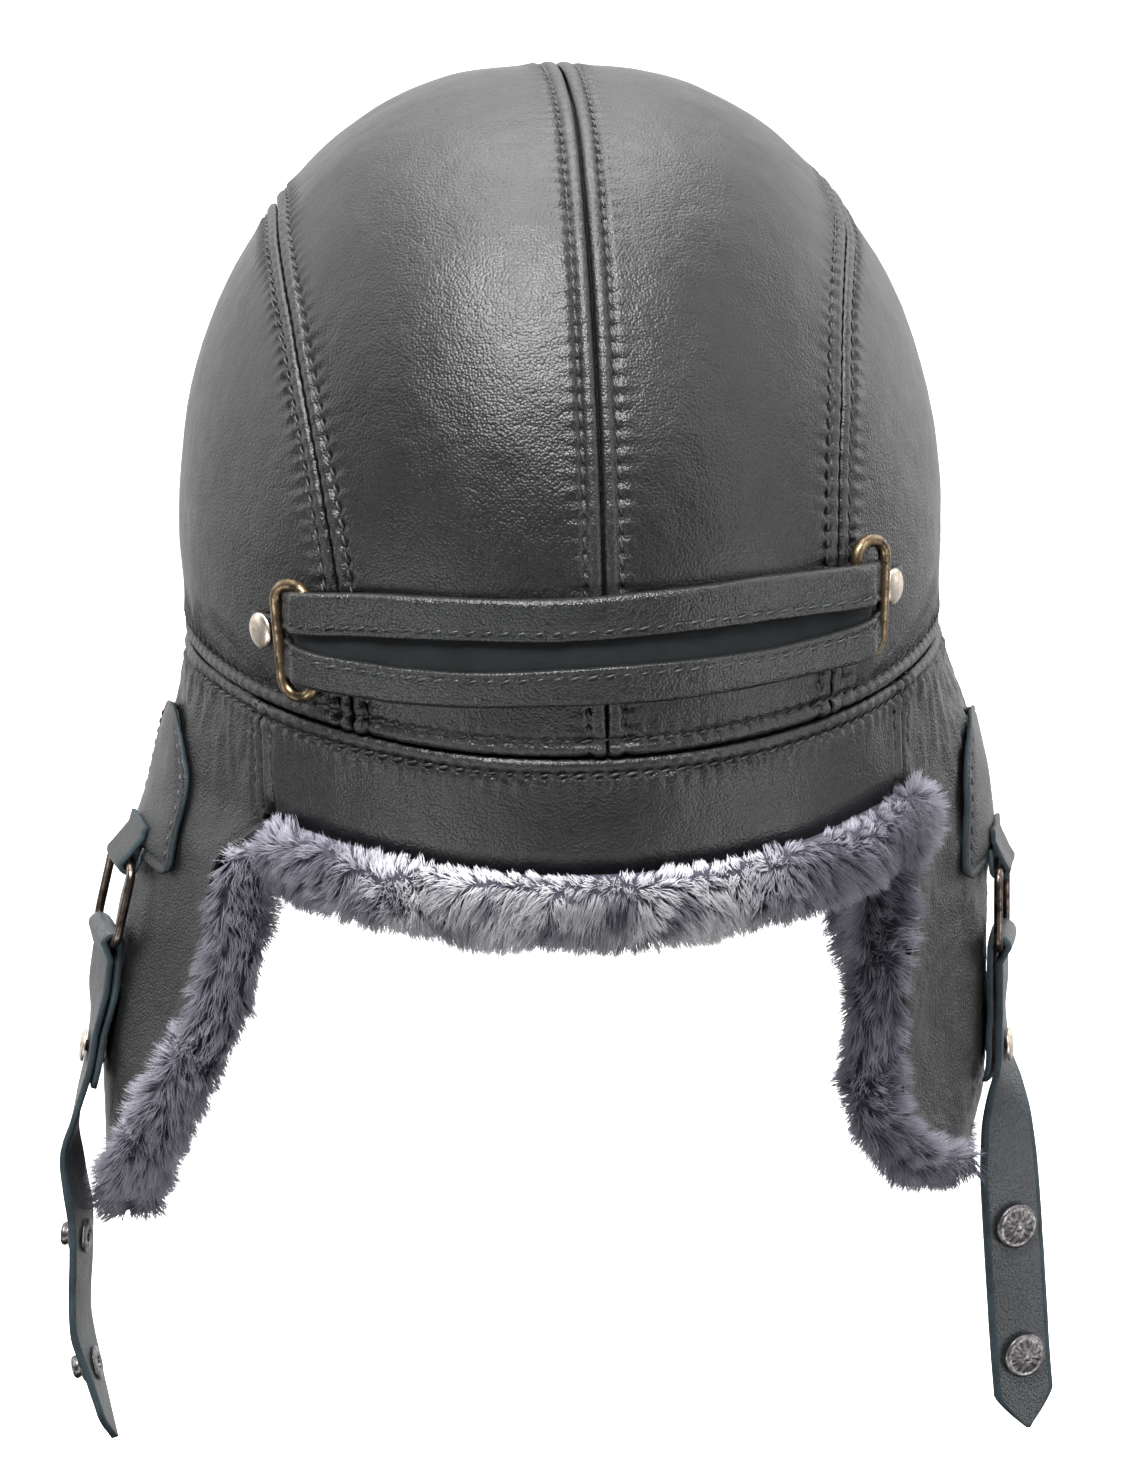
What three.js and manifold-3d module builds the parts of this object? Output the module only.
// A leather flying helmet with fur lining: a crown of four panels, a nape panel and a brow panel,
// two ear flaps, a back strap on two rings, and a chin strap on a ring at each flap.
// Millimetres, +Z up. The wearer faces -Y, and the wearer's left is +X.
// The origin is the middle of the head opening, on the plane of the seam under the crown.
import * as THREE from 'three';
import Module from 'manifold-3d';

const wasm = await Module();
wasm.setup();

// Crown
const CROWN_WIDTH = 197;
const CROWN_LENGTH = 238;
const CROWN_RISE = 123;
const WIDEST_HEIGHT = 28;
const CROWN_FULLNESS = 2.2;
const LEATHER = 1.6;
const PANEL_PUFF = 1.2;
const SEAM_LIFT = 7;
const SEAM_GAP = 0.4;
const SEAM_STRIP = 4;
const SEAM_RISE = 0.5;
const FIT_GAP = 0.3;
const LINING_GAP = 2.1;

// Panels and flaps below the crown
const NAPE_HEIGHT = 29;
const NAPE_CORNER = 34.3;
const BROW_HEIGHT = 28;
const BROW_CORNER = -38;
const FLAP_DROP = 142;
const FLAP_FLARE = 30;

// Fur
const CROWN_PILE = 11;
const FLAP_PILE = 14;
const EDGE_OVERHANG = { left: 14, right: 11 };
const TIP_OVERHANG = 15;
const ROLL_END_LENGTH = 24;
const ROLL_HEIGHT = 20;
const ROLL_OUT = 10;
const BROW_ROLL_HEIGHT = 14;
const BROW_ROLL_OUT = 7;
const LOCK_LIFT = 1.8;
const LOCK_LEAN = 2;

// Back strap, its rings and rivets
const BACK_STRAP_WIDTH = 27;
const BACK_STRAP_LEATHER = 1.4;
const FOLDED_EDGE_WIDTH = 9.5;
const FOLDED_EDGE_THICKNESS = 2.6;
const BACK_RING_WIRE = 3.2;
const BACK_RING_HEIGHT = 31;
const BACK_RING_WIDTH = 13;
const BACK_RING_CORNER = 4.5;
const BACK_RING_LEAN = 4;
const RIVET_DIAMETER = 9;
const RIVET_CAP_HEIGHT = 1.8;
const RIVET_SHANK = 3;

// Chin straps with their patches, rings and snaps
const CHIN_STRAP_WIDTH = 18;
const CHIN_STRAP_LEATHER = 1.8;
const CHIN_RING_HEIGHT = 24;
const CHIN_RING_WIRE = 2.4;
const CHIN_RING_CORNER = 4;
const CHIN_RING_SLACK = 1.5;
const FLAP_CLEARANCE = 0.8;
const CAP_SEAT = 0.9;
const CHIN_STRAP_REACH = { left: 224, right: 231 };
const CHIN_DROPS = {
  left: { patch: 16.5, ring: 69, rivet: 110, innerEnd: 119 },
  right: { patch: 25.6, ring: 79, rivet: 120, innerEnd: 128 },
};
const CHIN_STRAP_POINT = 10.6;
const STRAP_LEAVES_FLAP = 23.4;
const STRAP_EASE = 14.2;
const SNAPS_FROM_TIP = { upper: 60, lower: 22 };
const PATCH_HEIGHT = 40;
const PATCH_WIDTH = 50;
const PATCH_LEATHER = 1.4;
const PATCH_LOOP_WIDTH = 16;
const PATCH_ANGLE = 5.5;
const SNAP_DIAMETER = 12.5;
const SNAP_CAP_HEIGHT = 2;
const SNAP_POST = 4;
const SOCKET_DIAMETER = 9.5;
const SOCKET_HEIGHT = 2.6;
const STUD_DIAMETER = 6.4;
const STUD_HEIGHT = 3.4;

// Rows and sides of the nets
const OVER_ROWS = 9;
const PANEL_COLUMNS = 2;
const BAND_COLUMNS = 6;
const FLAP_COLUMNS = 4;
const SIDE_FOOT_STEPS = 11;
const LINING_SIDES = 18;
const NAPE_ROLL_STEPS = 20;
const BROW_ROLL_STEPS = 16;
const ROUND_SIDES = 10;
const RING_SIDES = 6;
const RING_CORNER_STEPS = 3;
const BEND_STEPS = 6;

const LEFT = 1;
const RIGHT = -1;
const sideName = (side) => (side === LEFT ? 'left' : 'right');
const HALF_WIDTH = CROWN_WIDTH / 2;
const HALF_LENGTH = CROWN_LENGTH / 2;
const HALF_TURN = 180;

// Each row is a place on the way over the crown from the back seam (0) to the front seam (1).
// The columns give how far each seam lies to the wearer's left or right, in half widths of the crown.
const CROWN_SEAMS = [
  { way: 0.00, centre: -0.015, left: 0.590, right: 0.590 },
  { way: 0.12, centre: -0.010, left: 0.630, right: 0.615 },
  { way: 0.28, centre: -0.012, left: 0.700, right: 0.660 },
  { way: 0.42, centre: -0.022, left: 0.730, right: 0.725 },
  { way: 0.55, centre: -0.020, left: 0.725, right: 0.720 },
  { way: 0.75, centre: -0.008, left: 0.670, right: 0.665 },
  { way: 1.00, centre: 0.000, left: 0.585, right: 0.585 },
];

// The leather beside a seam, from its edge inwards: away in strip widths, rise in strip heights.
const SEAM_SECTION = [
  { away: 0.00, rise: -1.6 },
  { away: 0.25, rise: 0.6 },
  { away: 0.62, rise: 1.0 },
  { away: 1.00, rise: 0.5 },
  { away: 1.40, rise: -0.5 },
  { away: 2.40, rise: 0.0 },
];

// Where a flap's leather has its other rows, in shares of its drop.
const FLAP_ROWS = [0.12, 0.20, 0.30, 0.41, 0.53, 0.64, 0.74, 0.84, 0.93, 1];

// Where the nets have a row beside a seam, in strip widths from its edge.
const SEAM_STOPS = [0, 0.3, 0.9, 1.5];

// Sections of each flap, from the seam down. drop is a share of the flap's drop; rear and front
// are the edges' angles in degrees about the head, from straight sideways and towards the back;
// the last three columns say how far out the leather stands, in shares of the flare.
const FLAPS = {
  left: [
    { drop: 0.00, rear: NAPE_CORNER, front: BROW_CORNER, rearOut: 0.00, sideOut: 0.00, frontOut: 0.00 },
    { drop: 0.21, rear: NAPE_CORNER, front: BROW_CORNER, rearOut: 0.00, sideOut: 0.27, frontOut: 0.00 },
    { drop: 0.33, rear: 28.0, front: -36, rearOut: 0.26, sideOut: 0.43, frontOut: 0.15 },
    { drop: 0.47, rear: 27.5, front: -34, rearOut: 0.36, sideOut: 0.66, frontOut: 0.32 },
    { drop: 0.62, rear: 25.5, front: -31, rearOut: 0.51, sideOut: 0.81, frontOut: 0.48 },
    { drop: 0.78, rear: 20.5, front: -26, rearOut: 0.76, sideOut: 0.90, frontOut: 0.64 },
    { drop: 0.94, rear: 12.0, front: -19, rearOut: 0.92, sideOut: 0.94, frontOut: 0.80 },
    { drop: 1.07, rear: 1.0, front: -8, rearOut: 0.94, sideOut: 0.93, frontOut: 0.88 },
  ],
  right: [
    { drop: 0.00, rear: NAPE_CORNER, front: BROW_CORNER, rearOut: 0.00, sideOut: 0.00, frontOut: 0.00 },
    { drop: 0.21, rear: NAPE_CORNER, front: BROW_CORNER, rearOut: 0.00, sideOut: 0.36, frontOut: 0.00 },
    { drop: 0.33, rear: 31.5, front: -36, rearOut: 0.10, sideOut: 0.48, frontOut: 0.14 },
    { drop: 0.47, rear: 32.0, front: -34, rearOut: 0.07, sideOut: 0.54, frontOut: 0.24 },
    { drop: 0.62, rear: 33.0, front: -32, rearOut: 0.02, sideOut: 0.55, frontOut: 0.30 },
    { drop: 0.78, rear: 33.0, front: -28, rearOut: 0.00, sideOut: 0.56, frontOut: 0.36 },
    { drop: 0.93, rear: 25.0, front: -20, rearOut: 0.14, sideOut: 0.50, frontOut: 0.38 },
    { drop: 1.04, rear: 8.0, front: -8, rearOut: 0.36, sideOut: 0.40, frontOut: 0.38 },
  ],
};

// Round the fur of a band panel, from behind the leather down round the roll and up on the inside:
// backing in leather and lining gaps inwards, pile in piles inwards, roll in roll depths outwards,
// panel in panel heights down and below in roll heights down.
const BAND_FUR_SECTION = [
  { backing: 1, pile: 0.0, roll: 0.00, panel: 0.0, below: 0.00 },
  { backing: 1, pile: 0.0, roll: 0.00, panel: 0.5, below: 0.00 },
  { backing: 1, pile: 0.0, roll: 0.00, panel: 1.0, below: 0.00 },
  { backing: 0, pile: 0.0, roll: 0.15, panel: 1.0, below: 0.00 },
  { backing: 0, pile: 0.0, roll: 0.70, panel: 1.0, below: 0.08 },
  { backing: 0, pile: 0.0, roll: 1.00, panel: 1.0, below: 0.40 },
  { backing: 0, pile: 0.0, roll: 0.85, panel: 1.0, below: 0.75 },
  { backing: 0, pile: 0.0, roll: 0.30, panel: 1.0, below: 1.00 },
  { backing: 0, pile: 0.5, roll: 0.00, panel: 1.0, below: 0.98 },
  { backing: 1, pile: 1.0, roll: 0.00, panel: 1.0, below: 0.50 },
  { backing: 1, pile: 1.0, roll: 0.00, panel: 0.8, below: 0.00 },
  { backing: 1, pile: 1.0, roll: 0.00, panel: 0.4, below: 0.00 },
  { backing: 1, pile: 1.0, roll: 0.00, panel: 0.0, below: 0.00 },
];

// Half the patch's width by the share of its height from the point down, in half patch widths.
const PATCH_OUTLINE = [
  { down: 0.00, half: 0.08 },
  { down: 0.15, half: 0.62 },
  { down: 0.38, half: 0.94 },
  { down: 0.68, half: 1.00 },
  { down: 0.90, half: 0.80 },
  { down: 1.00, half: 0.30 },
];

// The back strap's ends: the angles of the rivet and of the ring's middle about the head, from
// straight sideways, and the ring's height above the seam in strap widths.
const BACK_STRAP_ENDS = {
  left: { rivet: 38, ring: 45.4, height: 0.90 },
  right: { rivet: 41.5, ring: 48.0, height: 1.16 },
};
const BACK_STRAP_MIDDLE_HEIGHT = 1.01;

// The back strap from its tongue inwards. inward is from the ring's outer bar in ring widths, half
// in half strap widths, thick in folded thicknesses; lift is the height off the crown in ring wires.
const BACK_STRAP_RUN = [
  { inward: -1.05, half: 0.30, thick: 0.6, lift: 0.00 },
  { inward: -0.20, half: 0.30, thick: 0.6, lift: 0.00 },
  { inward: 0.22, half: 0.30, thick: 0.6, lift: 0.05 },
  { inward: 0.32, half: 0.30, thick: 0.8, lift: 0.40 },
  { inward: 0.35, half: 0.85, thick: 1.0, lift: 0.60 },
  { inward: 0.60, half: 0.86, thick: 1.0, lift: 1.28 },
  { inward: 0.95, half: 0.87, thick: 1.0, lift: 1.25 },
  { inward: 1.50, half: 0.90, thick: 1.0, lift: 0.75 },
  { inward: 2.30, half: 0.95, thick: 1.0, lift: 0.30 },
  { inward: 3.60, half: 1.00, thick: 1.0, lift: 0.20 },
];

// Each chin strap below its ring. reach is the share of the strap's whole reach below the band
// seam, out is beyond the crown's half width in flap flares, back is towards the back in strap
// widths, and turn is how many degrees the outer face is turned towards the back.
const CHIN_RUNS = {
  left: [
    { reach: 0.444, out: 0.919, back: 0.60, turn: 3 },
    { reach: 0.508, out: 1.005, back: 0.60, turn: 2 },
    { reach: 0.571, out: 1.136, back: 0.58, turn: -3 },
    { reach: 0.616, out: 1.208, back: 0.56, turn: -12 },
    { reach: 0.641, out: 1.198, back: 0.55, turn: -15 },
    { reach: 0.717, out: 1.143, back: 0.52, turn: -16 },
    { reach: 0.838, out: 1.189, back: 0.46, turn: -14 },
    { reach: 0.914, out: 1.087, back: 0.42, turn: -7 },
    { reach: 0.959, out: 1.018, back: 0.40, turn: -4 },
    { reach: 1.000, out: 0.929, back: 0.40, turn: -4 },
  ],
  right: [
    { reach: 0.431, out: 0.578, back: 0.60, turn: 0 },
    { reach: 0.492, out: 0.604, back: 0.60, turn: 14 },
    { reach: 0.529, out: 0.617, back: 0.62, turn: 18 },
    { reach: 0.572, out: 0.637, back: 0.68, turn: 38 },
    { reach: 0.622, out: 0.657, back: 0.72, turn: 57 },
    { reach: 0.695, out: 0.690, back: 0.75, turn: 68 },
    { reach: 0.812, out: 0.752, back: 0.75, turn: 70 },
    { reach: 0.886, out: 0.791, back: 0.75, turn: 70 },
    { reach: 0.954, out: 0.834, back: 0.75, turn: 70 },
    { reach: 1.000, out: 0.873, back: 0.75, turn: 70 },
  ],
};

const vec = (x, y, z) => new THREE.Vector3(x, y, z);
const radians = THREE.MathUtils.degToRad;
const mix = THREE.MathUtils.lerp;

function smooth(share) {
  return THREE.MathUtils.smoothstep(share, 0, 1);
}

// One column of a table, read between its rows along a smooth curve.
function read(table, key, column, at) {
  const last = table.length - 1;
  let i = 0;
  while (i < last - 1 && table[i + 1][key] < at) i += 1;
  const rate = (k) => (table[k + 1][column] - table[k][column]) / (table[k + 1][key] - table[k][key]);
  const slope = (k) => {
    const before = rate(Math.max(k - 1, 0));
    const after = rate(Math.min(k, last - 1));
    return before * after > 0 ? 2 * before * after / (before + after) : 0;
  };
  const span = table[i + 1][key] - table[i][key];
  const f = THREE.MathUtils.clamp((at - table[i][key]) / span, 0, 1);
  const g = f * f;
  const h = g * f;
  return (2 * h - 3 * g + 1) * table[i][column] + (3 * g - 2 * h) * table[i + 1][column]
    + ((h - 2 * g + f) * slope(i) + (h - g) * slope(i + 1)) * span;
}

// The leather's rise beside a seam, at a distance from its edge.
function seamRise(distance) {
  return SEAM_RISE * read(SEAM_SECTION, 'away', 'rise', Math.min(distance / SEAM_STRIP, 2.4));
}

// Places across a strip of leather in shares of its width, close together beside both seams.
function seamPlaces(width, between) {
  const beside = SEAM_STOPS.map((away) => away * SEAM_STRIP / width);
  const places = [...beside];
  const first = beside[beside.length - 1];
  for (let i = 1; i <= between; i += 1) places.push(mix(first, 1 - first, i / (between + 1)));
  return places.concat(beside.map((share) => 1 - share).reverse());
}

// A closed solid from corner points and triangles, with its faces pointing out.
function solid(points, triangles) {
  let volume = 0;
  for (const [a, b, c] of triangles) volume += points[a].dot(vec(0, 0, 0).crossVectors(points[b], points[c]));
  const index = triangles.flatMap(([a, b, c]) => (volume < 0 ? [a, c, b] : [a, b, c]));
  const geometry = new THREE.BufferGeometry();
  geometry.setAttribute('position', new THREE.Float32BufferAttribute(points.flatMap((p) => p.toArray()), 3));
  geometry.setIndex(index);
  return geometry;
}

// A solid through a row of closed loops, ended by fans, or joined end to start when it is a ring.
function loft(loops, ring = false) {
  const count = loops[0].length;
  const points = loops.flat();
  const triangles = [];
  const rows = ring ? loops.length : loops.length - 1;
  for (let i = 0; i < rows; i += 1) {
    for (let k = 0; k < count; k += 1) {
      const a = i * count + k;
      const b = i * count + (k + 1) % count;
      const c = ((i + 1) % loops.length) * count + (k + 1) % count;
      const d = ((i + 1) % loops.length) * count + k;
      triangles.push([a, b, c], [a, c, d]);
    }
  }
  if (!ring) {
    for (const [row, flip] of [[0, true], [loops.length - 1, false]]) {
      const hub = points.length;
      points.push(loops[row].reduce((sum, p) => sum.add(p), vec(0, 0, 0)).divideScalar(count));
      for (let k = 0; k < count; k += 1) {
        const a = row * count + k;
        const b = row * count + (k + 1) % count;
        triangles.push(flip ? [hub, b, a] : [hub, a, b]);
      }
    }
  }
  return solid(points, triangles);
}

// A wall between two nets of points with the same rows and columns.
function wall(outer, inner) {
  const rows = outer.length;
  const columns = outer[0].length;
  const points = [...outer.flat(), ...inner.flat()];
  const at = (side, i, j) => side * rows * columns + i * columns + j;
  const triangles = [];
  const quad = (a, b, c, d) => triangles.push([a, b, c], [a, c, d]);
  for (let i = 0; i < rows - 1; i += 1) {
    for (let j = 0; j < columns - 1; j += 1) {
      quad(at(0, i, j), at(0, i, j + 1), at(0, i + 1, j + 1), at(0, i + 1, j));
      quad(at(1, i + 1, j), at(1, i + 1, j + 1), at(1, i, j + 1), at(1, i, j));
    }
    const end = columns - 1;
    quad(at(0, i, 0), at(0, i + 1, 0), at(1, i + 1, 0), at(1, i, 0));
    quad(at(0, i + 1, end), at(0, i, end), at(1, i, end), at(1, i + 1, end));
  }
  for (let j = 0; j < columns - 1; j += 1) {
    const end = rows - 1;
    quad(at(0, 0, j + 1), at(0, 0, j), at(1, 0, j), at(1, 0, j + 1));
    quad(at(0, end, j), at(0, end, j + 1), at(1, end, j + 1), at(1, end, j));
  }
  return solid(points, triangles);
}

// A wall whose net closes round a middle point, from rings of points that shrink towards it.
function disc(outer, inner) {
  const loops = [[...outer].reverse(), inner].flat();
  return loft(loops);
}

function toManifold(geometry) {
  return new wasm.Manifold(new wasm.Mesh({
    numProp: 3,
    vertProperties: new Float32Array(geometry.attributes.position.array),
    triVerts: new Uint32Array(geometry.index.array),
  }));
}

function fromManifold(body) {
  const net = body.getMesh();
  const geometry = new THREE.BufferGeometry();
  geometry.setAttribute('position', new THREE.Float32BufferAttribute(net.vertProperties, 3));
  geometry.setIndex([...net.triVerts]);
  return geometry;
}

function cut(geometry, ...tools) {
  return fromManifold(tools.reduce((body, tool) => body.subtract(toManifold(tool)), toManifold(geometry)));
}

function join(...geometries) {
  const [first, ...rest] = geometries.map(toManifold);
  return fromManifold(rest.reduce((body, other) => body.add(other), first));
}

// A turned solid on an axis: rows of a radius and a height along it.
function turned(profile, sides, origin, axis) {
  const turn = new THREE.Quaternion().setFromUnitVectors(vec(0, 0, 1), axis.clone().normalize());
  const loops = profile.map(([radius, height]) => Array.from({ length: sides }, (_, k) => {
    const angle = 2 * Math.PI * k / sides;
    return vec(radius * Math.cos(angle), radius * Math.sin(angle), height).applyQuaternion(turn).add(origin);
  }));
  return loft(loops);
}

// How wide the crown is at a height above the seam, as a share of its full width.
function crownShare(height) {
  const level = Math.abs(height - WIDEST_HEIGHT) / CROWN_RISE;
  return (1 - level ** CROWN_FULLNESS) ** (1 / CROWN_FULLNESS);
}

// The direction straight out of the crown at a point of its surface.
function crownNormal(p) {
  const x = p.x / HALF_WIDTH;
  const y = p.y / HALF_LENGTH;
  const z = (p.z - WIDEST_HEIGHT) / CROWN_RISE;
  const plan = Math.max(x * x + y * y, 1e-9) ** (CROWN_FULLNESS / 2 - 1);
  const rise = Math.sign(z) * Math.abs(z) ** (CROWN_FULLNESS - 1);
  return vec(plan * x / HALF_WIDTH, plan * y / HALF_LENGTH, rise / CROWN_RISE).normalize();
}

// The crown's surface straight out from its middle along a direction given in half sizes.
function crownAlong(direction) {
  const plan = direction.x ** 2 + direction.y ** 2;
  const total = plan ** (CROWN_FULLNESS / 2) + Math.abs(direction.z) ** CROWN_FULLNESS;
  const reach = total ** (-1 / CROWN_FULLNESS);
  return vec(direction.x * HALF_WIDTH, direction.y * HALF_LENGTH, direction.z * CROWN_RISE)
    .multiplyScalar(reach).add(vec(0, 0, WIDEST_HEIGHT));
}

// The band seam's height at an angle about the head: it rises towards the sides.
function seamHeight(angle) {
  return SEAM_LIFT * Math.cos(radians(angle)) ** 2;
}

// The crown's surface at a height, at an angle about the head from straight sideways.
function crownAround(side, angle, height, out = 0) {
  const share = crownShare(height);
  const a = radians(angle);
  const p = vec(side * HALF_WIDTH * share * Math.cos(a), HALF_LENGTH * share * Math.sin(a), height);
  return p.addScaledVector(crownNormal(p), out);
}

// The crown's surface at a place on the way over it and a place across it.
function crownOver(way, across) {
  const x = across(way) * HALF_WIDTH;
  const start = (end) => {
    let height = SEAM_GAP / 2;
    let back = 1;
    for (let i = 0; i < 8; i += 1) {
      back = Math.sqrt(crownShare(height) ** 2 - across(end) ** 2);
      height = SEAM_GAP / 2 + seamHeight(THREE.MathUtils.radToDeg(Math.atan2(back, Math.abs(across(end)))));
    }
    return Math.atan2((height - WIDEST_HEIGHT) / CROWN_RISE, back);
  };
  const turn = mix(start(0), Math.PI - start(1), way);
  let low = 0;
  let high = 1.5;
  for (let i = 0; i < 40; i += 1) {
    const middle = (low + high) / 2;
    const plan = (x / HALF_WIDTH) ** 2 + (middle * Math.cos(turn)) ** 2;
    const total = plan ** (CROWN_FULLNESS / 2) + (middle * Math.abs(Math.sin(turn))) ** CROWN_FULLNESS;
    if (total < 1) low = middle;
    else high = middle;
  }
  return vec(x, HALF_LENGTH * low * Math.cos(turn), WIDEST_HEIGHT + CROWN_RISE * low * Math.sin(turn));
}

const CROWN_ARC = 2.35 * HALF_LENGTH + CROWN_RISE * 0.35;
const OVER_PLACES = seamPlaces(CROWN_ARC, OVER_ROWS);

// A centre panel of the crown, between the centre seam and a side seam.
function centrePanel(side, seam) {
  const width = 0.78 * HALF_WIDTH;
  const half = SEAM_GAP / 2 / HALF_WIDTH;
  const across = (share) => (way) => mix(
    read(CROWN_SEAMS, 'way', 'centre', way) + side * half,
    side * (read(CROWN_SEAMS, 'way', seam, way) - half),
    share,
  );
  const net = (depth) => OVER_PLACES.map((way) => seamPlaces(width, PANEL_COLUMNS).map((share) => {
    const p = crownOver(way, across(share));
    const edge = Math.min(share * width, (1 - share) * width, way * CROWN_ARC, (1 - way) * CROWN_ARC);
    const puff = PANEL_PUFF * Math.sin(Math.PI * share) * Math.sin(Math.PI * way) ** 0.5;
    const rise = depth > 0 ? puff - depth : puff + seamRise(edge);
    return p.addScaledVector(crownNormal(p), rise);
  }));
  return wall(net(0), net(LEATHER));
}

// A side panel of the crown, from its seam with the centre panel down to the band seam.
function sidePanel(side, seam) {
  const half = SEAM_GAP / 2 / HALF_WIDTH;
  const across = (way) => side * (read(CROWN_SEAMS, 'way', seam, way) + half);
  const border = OVER_PLACES.map((way) => crownOver(way, across));
  const first = border[border.length - 1];
  const last = border[0];
  const angleOf = (p) => Math.atan2(p.y / HALF_LENGTH, side * p.x / HALF_WIDTH);
  for (let i = 1; i < SIDE_FOOT_STEPS; i += 1) {
    const angle = THREE.MathUtils.radToDeg(mix(angleOf(first), angleOf(last), i / SIDE_FOOT_STEPS));
    border.push(crownAround(side, angle, seamHeight(angle) + SEAM_GAP / 2));
  }
  const inHalfSizes = (p) => vec(p.x / HALF_WIDTH, p.y / HALF_LENGTH, (p.z - WIDEST_HEIGHT) / CROWN_RISE);
  const middle = crownAround(side, 0, WIDEST_HEIGHT * 1.6);
  const strip = SEAM_STOPS.map((away) => away * SEAM_STRIP);
  const inward = (p, distance) => distance / p.distanceTo(middle);
  const rings = [
    ...strip.map((distance) => border.map((p) => [p, inward(p, distance), distance])),
    ...[0.36, 0.72].map((share) => border.map((p) => [p, share, share * p.distanceTo(middle)])),
  ];
  const net = (depth) => rings.map((ring) => ring.map(([p, share, distance]) => {
    const q = share === 0 ? p.clone() : crownAlong(inHalfSizes(p).lerp(inHalfSizes(middle), share));
    const puff = PANEL_PUFF * smooth(distance / HALF_WIDTH * 2);
    const rise = depth > 0 ? puff - depth : puff + seamRise(distance);
    return q.addScaledVector(crownNormal(q), rise);
  }));
  return disc(net(0), net(LEATHER));
}

// The band under the crown: the crown's own plan at the seam, carried straight down.
function bandPoint(side, angle, drop) {
  const top = seamHeight(angle);
  const share = crownShare(top);
  const a = radians(angle);
  return vec(side * HALF_WIDTH * share * Math.cos(a), HALF_LENGTH * share * Math.sin(a), top - drop);
}

function bandNormal(side, angle) {
  const a = radians(angle);
  return vec(side * Math.cos(a) / HALF_WIDTH, Math.sin(a) / HALF_LENGTH, 0).normalize();
}

// A panel of the band between two corners, given as angles on the left and on the right.
function bandPanel(corner, height) {
  const towards = Math.sign(corner);
  const end = HALF_TURN - Math.abs(corner);
  const start = Math.abs(corner);
  const middleRadius = (HALF_WIDTH + HALF_LENGTH) / 2;
  const length = middleRadius * radians(end - start);
  const clear = SEAM_GAP / 2 / length;
  const downs = [...SEAM_STOPS.map((away) => away * SEAM_STRIP / height), 0.6, 1];
  const net = (depth) => downs.map((down) => seamPlaces(length, BAND_COLUMNS).map((share) => {
    const angle = towards * mix(start, end, mix(clear, 1 - clear, share));
    const drop = Math.max(down * height, SEAM_GAP / 2);
    const edge = Math.min(share * length, (1 - share) * length, down * height);
    const rise = depth > 0 ? -depth : seamRise(edge);
    return bandPoint(LEFT, angle, drop).addScaledVector(bandNormal(LEFT, angle), rise);
  }));
  return wall(net(0), net(LEATHER));
}

// A flap's surface at an angle and a drop, before its thickness.
function flapPoint(side, table, angle, drop) {
  const share = Math.min(drop / FLAP_DROP, table[table.length - 1].drop);
  const get = (column) => read(table, 'drop', column, share);
  const behind = angle > 0;
  const edge = behind ? get('rear') : get('front');
  const edgeOut = behind ? get('rearOut') : get('frontOut');
  const out = mix(get('sideOut'), edgeOut, smooth(Math.min(angle / edge, 1)));
  return bandPoint(side, angle, drop).add(vec(side * out * FLAP_FLARE, 0, 0));
}

function flapNormal(side, table, angle, drop) {
  const step = 0.5;
  const along = flapPoint(side, table, angle + step, drop).sub(flapPoint(side, table, angle - step, drop));
  const down = flapPoint(side, table, angle, drop + step)
    .sub(flapPoint(side, table, angle, Math.max(drop - step, 0)));
  return vec(0, 0, 0).crossVectors(down, along).multiplyScalar(side).normalize();
}

function flapAt(side, table, angle, drop, out) {
  return flapPoint(side, table, angle, drop).addScaledVector(flapNormal(side, table, angle, drop), out);
}

// An ear flap's leather.
function flapLeather(side, table) {
  const lowest = table[table.length - 1].drop;
  const drops = [
    ...SEAM_STOPS.map((away) => away * SEAM_STRIP / FLAP_DROP),
    ...FLAP_ROWS.map((share) => share * lowest),
  ];
  const nominal = HALF_LENGTH * radians(NAPE_CORNER - BROW_CORNER);
  const shares = seamPlaces(nominal, FLAP_COLUMNS);
  const net = (depth) => drops.map((down) => shares.map((share) => {
    const drop = Math.max(down * FLAP_DROP, SEAM_GAP / 2);
    const rear = read(table, 'drop', 'rear', down) - THREE.MathUtils.radToDeg(SEAM_GAP / 2 / HALF_LENGTH);
    const front = read(table, 'drop', 'front', down) + THREE.MathUtils.radToDeg(SEAM_GAP / 2 / HALF_LENGTH);
    const sewn = share < 0.5 ? NAPE_HEIGHT : BROW_HEIGHT;
    const reach = drop < sewn ? 1 : Math.max(0, 1 - (drop - sewn) / SEAM_STRIP);
    const sideEdge = Math.min(share, 1 - share) * nominal;
    const rise = depth > 0 ? -depth : Math.min(seamRise(down * FLAP_DROP), 0) + reach * seamRise(sideEdge);
    const top = drop < SEAM_STRIP * 1.4 && sideEdge > SEAM_STRIP * 1.4 ? seamRise(down * FLAP_DROP) : rise;
    const p = flapAt(side, table, mix(rear, front, share), drop, depth > 0 ? -depth : top);
    if (down === 0) p.z = seamHeight(mix(rear, front, share)) - SEAM_GAP / 2;
    return p;
  }));
  return wall(net(0), net(LEATHER));
}

// Every second point of a fur surface is the tip of a lock: it is lifted and leans down.
function lock(p, out, i, k) {
  if ((i + k) % 2 === 0) return p;
  return p.addScaledVector(out, LOCK_LIFT).add(vec(0, 0, -LOCK_LEAN));
}

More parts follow.
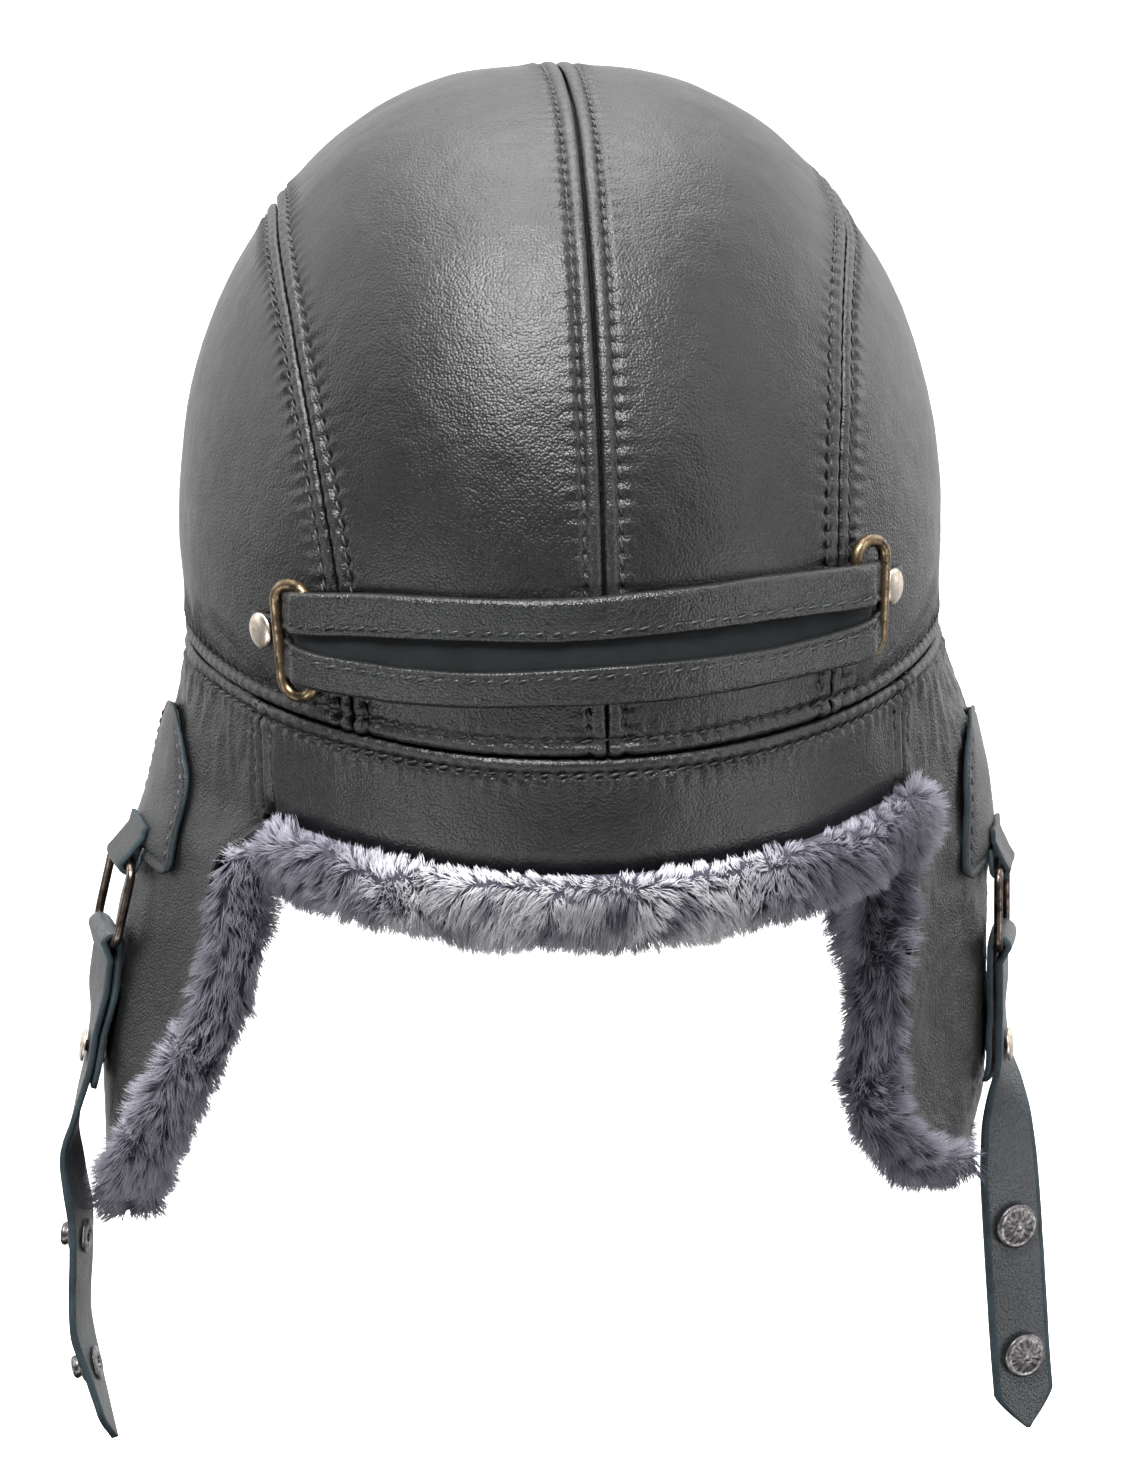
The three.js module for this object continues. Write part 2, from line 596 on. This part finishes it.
// The crown's fur lining, down to the band seam.
function crownFur() {
  const outside = LEATHER + LINING_GAP;
  const levels = [0.985, 0.92, 0.78, 0.58, 0.38, 0.18, 0];
  const top = WIDEST_HEIGHT + CROWN_RISE;
  const angles = Array.from({ length: LINING_SIDES }, (_, k) => 360 * k / LINING_SIDES);
  const layer = (depth, withLocks) => levels.map((level, i) => angles.map((angle, k) => {
    const rim = seamHeight(angle) + SEAM_GAP / 2;
    const p = crownAround(LEFT, angle, mix(rim, top, level));
    const normal = crownNormal(p);
    p.addScaledVector(normal, -depth);
    p.z = Math.max(p.z, rim);
    const covered = i === 0 || i === levels.length - 1;
    return withLocks && !covered ? lock(p, normal.negate(), i, k) : p;
  }));
  return loft([...layer(outside, false), ...layer(outside + CROWN_PILE, true).reverse()]);
}

// The fur behind a band panel, with the roll that comes out under the panel's lower edge.
function bandFur(corner, height, rollHeight, rollOut, steps) {
  const top = SEAM_GAP / 2 + FIT_GAP;
  const section = BAND_FUR_SECTION.map(({ backing, pile, roll, panel, below }) => ({
    out: roll * rollOut - pile * CROWN_PILE - backing * (LEATHER + LINING_GAP),
    drop: top + panel * height + below * rollHeight,
    loose: below > 0,
  }));
  const towards = Math.sign(corner);
  const start = Math.abs(corner);
  const clear = THREE.MathUtils.radToDeg(FIT_GAP / HALF_WIDTH);
  const loops = Array.from({ length: steps + 1 }, (_, i) => {
    const angle = towards * mix(start + clear, HALF_TURN - start - clear, i / steps);
    const normal = bandNormal(LEFT, angle);
    const ends = i === 0 || i === steps;
    return section.map(({ out, drop, loose }, k) => {
      const p = bandPoint(LEFT, angle, drop).addScaledVector(normal, out);
      return loose && !ends ? lock(p, normal.clone().multiplyScalar(Math.sign(out)), i, k) : p;
    });
  });
  return loft(loops);
}

// The rounded end of the nape roll, which lies outside the right flap's rear edge.
function rollEnd() {
  const angle = NAPE_CORNER - THREE.MathUtils.radToDeg(ROLL_HEIGHT * 0.1 / HALF_LENGTH);
  const normal = bandNormal(RIGHT, angle);
  const centre = bandPoint(RIGHT, angle, NAPE_HEIGHT + ROLL_HEIGHT * 0.25)
    .addScaledVector(normal, ROLL_OUT * 0.5 + LOCK_LIFT);
  const along = vec(0, 0, 1).cross(normal).normalize();
  const shares = [-0.97, -0.7, -0.3, 0.15, 0.6, 0.92];
  const sides = 10;
  const loops = shares.map((share, i) => Array.from({ length: sides }, (_, k) => {
    const turn = 2 * Math.PI * k / sides;
    const round = Math.sqrt(1 - share * share) * (1 + (i + k) % 2 * LOCK_LIFT / ROLL_HEIGHT);
    return centre.clone().addScaledVector(along, share * ROLL_END_LENGTH / 2)
      .addScaledVector(normal, round * ROLL_OUT / 2 * Math.cos(turn))
      .add(vec(0, 0, round * ROLL_HEIGHT / 2 * Math.sin(turn)));
  }));
  return loft(loops);
}

// A flap's fur lining, which comes out past the leather's free edges.
function flapFur(side, table, overhang) {
  const lowest = table[table.length - 1].drop * FLAP_DROP;
  const inside = LEATHER + LINING_GAP;
  const stops = [0.002, 0.10, 0.22, 0.33, 0.38, 0.45, 0.53, 0.61, 0.69, 0.77, 0.84, 0.90, 0.96];
  const drops = stops.map((share) => share * lowest);
  const tail = [0.35, 0.7, 0.95];
  const perLayer = 7;
  const clear = THREE.MathUtils.radToDeg(FIT_GAP / HALF_WIDTH);
  const free = {
    rear: NAPE_HEIGHT + ROLL_HEIGHT + LOCK_LEAN,
    front: BROW_HEIGHT + BROW_ROLL_HEIGHT + LOCK_LEAN,
  };
  const overhangAngle = THREE.MathUtils.radToDeg(overhang / HALF_LENGTH);
  const loop = (drop, beyond, i) => {
    const squeeze = Math.sqrt(1 - beyond * beyond * 0.96);
    const share = Math.min(drop / FLAP_DROP, table.at(-1).drop);
    const reach = (from) => smooth((drop - from) / overhang) * overhangAngle;
    const rear = read(table, 'drop', 'rear', share) - clear + reach(free.rear);
    const front = read(table, 'drop', 'front', share) + clear - reach(free.front);
    const middle = (rear + front) / 2;
    const half = (rear - front) / 2 * (beyond > 0 ? mix(1, squeeze, 0.8) : 1);
    const points = [];
    const put = (share, depth, tip) => {
      const angle = middle + half * share;
      const p = flapAt(side, table, angle, drop, -depth);
      const normal = flapNormal(side, table, angle, drop);
      const sign = depth > inside + FLAP_PILE / 2 ? -1 : 1;
      points.push(tip ? lock(p, normal.multiplyScalar(sign), i, points.length) : p);
    };
    const thick = (depth) => inside + FLAP_PILE / 2 + (depth - FLAP_PILE / 2) * (beyond > 0 ? squeeze : 1);
    for (let k = 0; k < perLayer; k += 1) put(0.94 - 1.88 * k / (perLayer - 1), thick(0), false);
    put(-1, thick(FLAP_PILE * 0.35), false);
    put(-1, thick(FLAP_PILE * 0.7), drop > free.front);
    for (let k = 0; k < perLayer; k += 1) {
      put(-0.94 + 1.88 * k / (perLayer - 1), thick(FLAP_PILE), i > 0 && k > 0 && k < perLayer - 1);
    }
    put(1, thick(FLAP_PILE * 0.7), drop > free.rear);
    put(1, thick(FLAP_PILE * 0.35), false);
    return points;
  };
  const loops = drops.map((drop, i) => loop(drop, 0, i));
  tail.forEach((share, i) => loops.push(loop(lowest + share * TIP_OVERHANG, share, drops.length + i)));
  for (const p of loops[0]) p.z -= SEAM_GAP / 2 + FIT_GAP;
  return loft(loops);
}

// A wire ring in the shape of a rounded rectangle, in a frame of its own.
function wireRing({ centre, across, up, width, height, corner, wire }) {
  const normal = vec(0, 0, 0).crossVectors(across, up);
  const x = (width - wire) / 2 - corner;
  const y = (height - wire) / 2 - corner;
  const loops = [];
  for (const [quarter, [cx, cy]] of [[x, y], [-x, y], [-x, -y], [x, -y]].entries()) {
    for (let i = 0; i <= RING_CORNER_STEPS; i += 1) {
      const turn = radians(HALF_TURN / 2 * (quarter + i / RING_CORNER_STEPS));
      const out = across.clone().multiplyScalar(Math.cos(turn)).addScaledVector(up, Math.sin(turn));
      const at = centre.clone().addScaledVector(across, cx).addScaledVector(up, cy);
      at.addScaledVector(out, corner);
      loops.push(Array.from({ length: RING_SIDES }, (_, k) => {
        const angle = 2 * Math.PI * (k + 0.5) / RING_SIDES;
        return at.clone().addScaledVector(out, wire / 2 * Math.cos(angle))
          .addScaledVector(normal, wire / 2 * Math.sin(angle));
      }));
    }
  }
  return loft(loops, true);
}

// A place on the crown at an angle from straight sideways on the left, with its own directions.
function crownFrame(angle, height, out) {
  const at = crownAround(LEFT, angle, height, out);
  const normal = crownNormal(at);
  const across = crownAround(LEFT, angle + 1, height).sub(crownAround(LEFT, angle - 1, height)).normalize();
  return { at, normal, across, up: vec(0, 0, 0).crossVectors(normal, across).normalize() };
}

const STRAP_BASE = SEAM_RISE + FIT_GAP;
const TONGUE_TOP = STRAP_BASE + FOLDED_EDGE_THICKNESS * BACK_STRAP_RUN[0].thick;

function strapHeight(angle) {
  const { left, right } = BACK_STRAP_ENDS;
  const ends = angle < 90 ? left : right;
  const share = smooth(Math.abs(angle - 90) / (90 - ends.ring));
  return BACK_STRAP_WIDTH * mix(BACK_STRAP_MIDDLE_HEIGHT, ends.height, Math.min(share, 1));
}

// The angle of an end's place on the back strap, measured inwards from its ring in ring widths.
function strapAngle(side, inward) {
  const ends = side === LEFT ? BACK_STRAP_ENDS.left : BACK_STRAP_ENDS.right;
  const perWidth = THREE.MathUtils.radToDeg(BACK_RING_WIDTH / (HALF_LENGTH * 0.92));
  const angle = ends.ring - perWidth * 0.38 + inward * perWidth;
  return side === LEFT ? angle : HALF_TURN - angle;
}

function rivetAngle(side) {
  return side === LEFT ? BACK_STRAP_ENDS.left.rivet : HALF_TURN - BACK_STRAP_ENDS.right.rivet;
}

// The back strap: thin in the middle between two folded edges, with a tongue at each end.
function backStrap() {
  const half = BACK_STRAP_WIDTH / 2;
  const inner = 1 - FOLDED_EDGE_WIDTH / half;
  const thin = BACK_STRAP_LEATHER / FOLDED_EDGE_THICKNESS;
  const section = [
    [-1, 0], [-1, 0.7], [-0.92, 1], [-inner, 1], [-inner * 0.86, thin],
    [inner * 0.86, thin], [inner, 1], [0.92, 1], [1, 0.7], [1, 0],
  ];
  const row = (angle, { half: share, thick, lift }) => {
    const { at, normal, up } = crownFrame(angle, strapHeight(angle), STRAP_BASE + lift * BACK_RING_WIRE);
    return section.map(([a, b]) => at.clone().addScaledVector(up, a * half * share)
      .addScaledVector(normal, b * FOLDED_EDGE_THICKNESS * thick));
  };
  const end = (side) => BACK_STRAP_RUN.map((stop) => row(strapAngle(side, stop.inward), stop));
  const last = BACK_STRAP_RUN[BACK_STRAP_RUN.length - 1];
  const from = strapAngle(LEFT, last.inward);
  const to = strapAngle(RIGHT, last.inward);
  const middle = Array.from({ length: 5 }, (_, i) => row(mix(from, to, (i + 1) / 6), last));
  const strap = loft([...end(LEFT), ...middle, ...end(RIGHT).reverse()]);
  return cut(strap, ...[LEFT, RIGHT].map((side) => rivetHole(side)));
}

function backRing(side) {
  const ends = side === LEFT ? BACK_STRAP_ENDS.left : BACK_STRAP_ENDS.right;
  const angle = side === LEFT ? ends.ring : HALF_TURN - ends.ring;
  const low = STRAP_BASE + FIT_GAP + BACK_RING_WIRE / 2;
  const high = TONGUE_TOP + FIT_GAP + BACK_RING_WIRE / 2;
  const { at, normal, across, up } = crownFrame(angle, ends.height * BACK_STRAP_WIDTH, (low + high) / 2);
  const outward = across.multiplyScalar(-side);
  const span = BACK_RING_WIDTH - BACK_RING_WIRE;
  const tilted = outward.clone().multiplyScalar(span).addScaledVector(normal, high - low).normalize();
  const lean = radians(BACK_RING_LEAN);
  const leaned = up.clone().multiplyScalar(Math.cos(lean)).addScaledVector(tilted, Math.sin(lean));
  const turned = tilted.clone().multiplyScalar(Math.cos(lean)).addScaledVector(up, -Math.sin(lean));
  return wireRing({
    centre: at, across: turned, up: leaned,
    width: BACK_RING_WIDTH, height: BACK_RING_HEIGHT, corner: BACK_RING_CORNER, wire: BACK_RING_WIRE,
  });
}

// A domed rivet cap on a shank, from the shank's inner end to the top of the dome.
function rivet(origin, axis, inner, seat) {
  const cap = RIVET_DIAMETER / 2;
  return turned([
    [RIVET_SHANK / 2, inner], [RIVET_SHANK / 2, seat],
    [cap, seat], [cap * 0.96, seat + RIVET_CAP_HEIGHT * 0.35],
    [cap * 0.7, seat + RIVET_CAP_HEIGHT * 0.8], [cap * 0.3, seat + RIVET_CAP_HEIGHT],
  ], ROUND_SIDES, origin, axis);
}

function rivetPlace(side) {
  const angle = rivetAngle(side);
  return crownFrame(angle, strapHeight(angle), 0);
}

function backRivet(side) {
  const { at, normal } = rivetPlace(side);
  return rivet(at, normal, -LEATHER - FIT_GAP, TONGUE_TOP + FIT_GAP);
}

function rivetHole(side) {
  const { at, normal } = rivetPlace(side);
  const radius = RIVET_SHANK / 2 + FIT_GAP;
  return turned([[radius, -4 * LEATHER], [radius, 4 * LEATHER]], ROUND_SIDES, at, normal);
}

// A place out from a flap's leather in front of the patch's middle, at a drop below the seam.
function flapPlace(side, table, drop, out) {
  return flapAt(side, table, PATCH_ANGLE, drop, out);
}

// The direction across a strap that lies on a flap, towards the back.
function flapAcross(side, table, drop) {
  const step = 4;
  return flapPoint(side, table, PATCH_ANGLE + step, drop)
    .sub(flapPoint(side, table, PATCH_ANGLE - step, drop)).normalize();
}

const RING_SPAN = CHIN_RING_HEIGHT - CHIN_RING_WIRE;
const RING_OUT = FLAP_CLEARANCE + CHIN_STRAP_LEATHER + FIT_GAP + CHIN_RING_WIRE / 2;

// A chin ring's middle, its directions, and the middles of its top and lower bars.
function ringFrame(side, table) {
  const drop = CHIN_DROPS[sideName(side)].ring;
  const high = flapPlace(side, table, drop - RING_SPAN / 2, RING_OUT);
  const deep = flapPlace(side, table, drop + RING_SPAN / 2, RING_OUT);
  const centre = high.clone().add(deep).multiplyScalar(0.5);
  const up = high.clone().sub(deep).normalize();
  const across = flapAcross(side, table, drop);
  across.addScaledVector(up, -across.dot(up)).normalize();
  const out = vec(0, 0, 0).crossVectors(across, up).multiplyScalar(side);
  const top = centre.clone().addScaledVector(up, RING_SPAN / 2);
  const low = centre.clone().addScaledVector(up, -RING_SPAN / 2);
  return { centre, up, across, out, top, low };
}

// A flap's patch, with the tongue that goes behind the ring's top bar and folds up over it.
function flapPatch(side, table) {
  const columns = [-1, -0.6, -0.2, 0.2, 0.6, 1];
  const perDegree = HALF_LENGTH * radians(1);
  const patchTop = CHIN_DROPS[sideName(side)].patch;
  const net = (out) => PATCH_OUTLINE.map(({ down, half }) => columns.map((share) => {
    const angle = PATCH_ANGLE + share * half * PATCH_WIDTH / 2 / perDegree;
    return flapAt(side, table, angle, patchTop + down * PATCH_HEIGHT, out);
  }));
  const plate = wall(net(FLAP_CLEARANCE + PATCH_LEATHER), net(FLAP_CLEARANCE));
  const layer = FLAP_CLEARANCE + PATCH_LEATHER / 2;
  const bottom = patchTop + PATCH_HEIGHT;
  const { top, up, across, out } = ringFrame(side, table);
  const radius = (CHIN_RING_WIRE + PATCH_LEATHER) / 2 + FIT_GAP;
  const round = (turn) => top.clone().addScaledVector(up, -radius * Math.sin(turn))
    .addScaledVector(out, -radius * Math.cos(turn));
  const places = [flapPlace(side, table, bottom - PATCH_LEATHER * 2, layer)];
  for (let i = 0; i <= BEND_STEPS; i += 1) places.push(round(Math.PI * i / BEND_STEPS));
  places.push(round(Math.PI).addScaledVector(up, radius).addScaledVector(out, -radius * 0.6));
  for (const back of [7, 12]) places.push(flapPlace(side, table, bottom - back, layer + PATCH_LEATHER * 0.9));
  return join(plate, ribbon(places, places.map(() => across), PATCH_LOOP_WIDTH, PATCH_LEATHER));
}

// A flat strip of leather along a row of places, with the direction across it at each.
function ribbon(places, acrosses, width, thickness, shares = places.map(() => 1)) {
  const loops = places.map((at, i) => {
    const before = places[Math.max(i - 1, 0)];
    const after = places[Math.min(i + 1, places.length - 1)];
    const along = after.clone().sub(before).normalize();
    const across = acrosses[i];
    const normal = vec(0, 0, 0).crossVectors(across, along).normalize();
    const half = width / 2 * shares[i];
    return [[-1, -1], [1, -1], [1, 1], [-1, 1]].map(([a, b]) => at.clone()
      .addScaledVector(across, a * half).addScaledVector(normal, b * thickness / 2));
  });
  return loft(loops);
}

function chinRing(side, table) {
  const { centre, across, up } = ringFrame(side, table);
  return wireRing({
    centre, across, up, height: CHIN_RING_HEIGHT, corner: CHIN_RING_CORNER, wire: CHIN_RING_WIRE,
    width: CHIN_STRAP_WIDTH + 2 * (CHIN_RING_SLACK + CHIN_RING_WIRE),
  });
}

const LAYER_STEP = CHIN_STRAP_LEATHER + 2 * FIT_GAP;

// The middle of a chin strap's outer layer, or of a layer nearer the flap by a depth.
function chinMiddle(side, name, drop, depth) {
  const get = (column) => read(CHIN_RUNS[name], 'reach', column, drop / CHIN_STRAP_REACH[name]);
  const turn = radians(get('turn'));
  const leaving = CHIN_DROPS[name].ring + STRAP_LEAVES_FLAP;
  const leave = smooth((drop - leaving) / STRAP_EASE);
  const free = vec(
    side * (HALF_WIDTH + get('out') * FLAP_FLARE - depth * Math.cos(turn)),
    get('back') * CHIN_STRAP_WIDTH - depth * Math.sin(turn),
    SEAM_LIFT - drop,
  );
  const out = FLAP_CLEARANCE + CHIN_STRAP_LEATHER / 2 + LAYER_STEP - depth;
  const lyingDrop = Math.min(drop, leaving + STRAP_EASE);
  const lying = flapPlace(side, FLAPS[name], lyingDrop, out);
  const across = flapAcross(side, FLAPS[name], lyingDrop)
    .lerp(vec(-side * Math.sin(turn), Math.cos(turn), 0), leave).normalize();
  return { at: lying.lerp(free, leave), across };
}

function chinPlace(side, name, drop, depth = 0) {
  const { at, across } = chinMiddle(side, name, drop, depth);
  const along = chinMiddle(side, name, drop + 1, depth).at.sub(chinMiddle(side, name, drop - 1, depth).at);
  return { at, across, normal: along.normalize().cross(across).multiplyScalar(side).normalize() };
}

// A chin strap: a short inner layer, the fold over the ring's lower bar, and the long outer layer.
function chinStrap(side, name) {
  const frames = [];
  const { ring, rivet: rivetDrop, innerEnd } = CHIN_DROPS[name];
  const tip = CHIN_STRAP_REACH[name];
  const below = ring + RING_SPAN / 2 + CHIN_RING_WIRE;
  for (let i = 0; i <= 4; i += 1) frames.push(chinPlace(side, name, mix(innerEnd, below, i / 4), LAYER_STEP));
  const { low, up, across, out } = ringFrame(side, FLAPS[name]);
  const radius = (CHIN_RING_WIRE + CHIN_STRAP_LEATHER) / 2 + FIT_GAP;
  for (let i = 0; i <= BEND_STEPS; i += 1) {
    const turn = Math.PI * i / BEND_STEPS;
    const at = low.clone().addScaledVector(up, radius * Math.sin(turn));
    frames.push({ at: at.addScaledVector(out, -radius * Math.cos(turn)), across });
  }
  const steps = 13;
  for (let i = 0; i <= steps; i += 1) {
    const drop = mix(below + CHIN_STRAP_LEATHER, tip - CHIN_STRAP_POINT, i / steps);
    frames.push(chinPlace(side, name, drop));
  }
  frames.push(chinPlace(side, name, tip));
  const shares = frames.map((_, i) => (i === frames.length - 1 ? 0.06 : 1));
  const strap = ribbon(frames.map(({ at }) => at), frames.map((frame) => frame.across), CHIN_STRAP_WIDTH,
    CHIN_STRAP_LEATHER, shares);
  const holes = Object.values(SNAPS_FROM_TIP).map((rise) => chinHole(side, name, tip - rise, SNAP_POST));
  return cut(strap, chinHole(side, name, rivetDrop, RIVET_SHANK), ...holes);
}

function chinHole(side, name, drop, diameter) {
  const { at, normal } = chinPlace(side, name, drop);
  const radius = diameter / 2 + FIT_GAP;
  return turned([[radius, -3 * LAYER_STEP], [radius, 3 * LAYER_STEP]], ROUND_SIDES, at, normal);
}

function chinRivet(side, name) {
  const { at, normal } = chinPlace(side, name, CHIN_DROPS[name].rivet);
  const seat = CHIN_STRAP_LEATHER / 2 + CAP_SEAT;
  return rivet(at, normal, -LAYER_STEP - CHIN_STRAP_LEATHER / 2 - FIT_GAP, seat);
}

// A snap's cap on the outer face, its post through the strap and its socket on the inner face.
function snapCap(side, name, drop) {
  const { at, normal } = chinPlace(side, name, drop);
  const seat = CHIN_STRAP_LEATHER / 2 + CAP_SEAT;
  const cap = SNAP_DIAMETER / 2;
  const socket = SOCKET_DIAMETER / 2;
  return turned([
    [socket * 0.6, -seat - SOCKET_HEIGHT], [socket, -seat - SOCKET_HEIGHT * 0.7], [socket, -seat],
    [SNAP_POST / 2, -seat], [SNAP_POST / 2, seat], [cap, seat], [cap, seat + SNAP_CAP_HEIGHT * 0.6],
    [cap * 0.88, seat + SNAP_CAP_HEIGHT],
  ], ROUND_SIDES, at, normal);
}

// A snap's stud on the outer face, its post through the strap and its eyelet on the inner face.
function snapStud(side, name, drop) {
  const { at, normal } = chinPlace(side, name, drop);
  const seat = CHIN_STRAP_LEATHER / 2 + CAP_SEAT;
  const stud = STUD_DIAMETER / 2;
  const eyelet = SOCKET_DIAMETER / 2;
  return turned([
    [eyelet * 0.5, -seat - SNAP_CAP_HEIGHT * 0.3], [eyelet * 0.8, -seat - SNAP_CAP_HEIGHT * 0.5],
    [eyelet, -seat], [SNAP_POST / 2, -seat], [SNAP_POST / 2, seat], [eyelet, seat],
    [eyelet, seat + STUD_HEIGHT * 0.2], [stud * 0.85, seat + STUD_HEIGHT * 0.35],
    [stud, seat + STUD_HEIGHT * 0.8], [stud * 0.7, seat + STUD_HEIGHT],
  ], ROUND_SIDES, at, normal);
}

const MATERIALS = {
  leather: new THREE.MeshStandardMaterial({ color: '#2b2d2e', roughness: 0.45, metalness: 0 }),
  strap: new THREE.MeshStandardMaterial({ color: '#25292b', roughness: 0.5, metalness: 0 }),
  fur: new THREE.MeshStandardMaterial({ color: '#5b5a6b', roughness: 0.95, metalness: 0 }),
  brass: new THREE.MeshStandardMaterial({ color: '#8a7454', roughness: 0.35, metalness: 1 }),
  nickel: new THREE.MeshStandardMaterial({ color: '#d8cfc4', roughness: 0.25, metalness: 1 }),
  gunmetal: new THREE.MeshStandardMaterial({ color: '#6e6a6c', roughness: 0.35, metalness: 1 }),
};

const helmet = new THREE.Group();

function add(name, geometry, material) {
  const piece = new THREE.Mesh(geometry, MATERIALS[material]);
  piece.name = name;
  helmet.add(piece);
}

for (const side of [LEFT, RIGHT]) {
  const name = sideName(side);
  add(`crown_${name}_centre_panel`, centrePanel(side, name), 'leather');
  add(`crown_${name}_side_panel`, cut(sidePanel(side, name), rivetHole(side)), 'leather');
  add(`${name}_ear_flap`, flapLeather(side, FLAPS[name]), 'leather');
  add(`${name}_flap_fur`, flapFur(side, FLAPS[name], EDGE_OVERHANG[name]), 'fur');
}

add('back_strap', backStrap(), 'strap');
for (const side of [LEFT, RIGHT]) {
  const name = sideName(side);
  add(`${name}_back_ring`, backRing(side), 'brass');
  add(`${name}_back_rivet`, backRivet(side), 'nickel');
  add(`${name}_flap_patch`, flapPatch(side, FLAPS[name]), 'leather');
  add(`${name}_chin_ring`, chinRing(side, FLAPS[name]), 'gunmetal');
  add(`${name}_chin_strap`, chinStrap(side, name), 'strap');
  add(`${name}_strap_rivet`, chinRivet(side, name), 'nickel');
  for (const [place, rise] of Object.entries(SNAPS_FROM_TIP)) {
    const drop = CHIN_STRAP_REACH[name] - rise;
    if (side === LEFT) add(`left_${place}_snap_stud`, snapStud(side, name, drop), 'gunmetal');
    else add(`right_${place}_snap_cap`, snapCap(side, name, drop), 'gunmetal');
  }
}

add('nape_panel', bandPanel(NAPE_CORNER, NAPE_HEIGHT), 'leather');
add('brow_panel', bandPanel(BROW_CORNER, BROW_HEIGHT), 'leather');
add('crown_fur_lining', crownFur(), 'fur');
const napeFur = bandFur(NAPE_CORNER, NAPE_HEIGHT, ROLL_HEIGHT, ROLL_OUT, NAPE_ROLL_STEPS);
add('nape_fur_roll', join(napeFur, rollEnd()), 'fur');
const browFur = bandFur(BROW_CORNER, BROW_HEIGHT, BROW_ROLL_HEIGHT, BROW_ROLL_OUT, BROW_ROLL_STEPS);
add('brow_fur_edge', browFur, 'fur');

export default helmet;
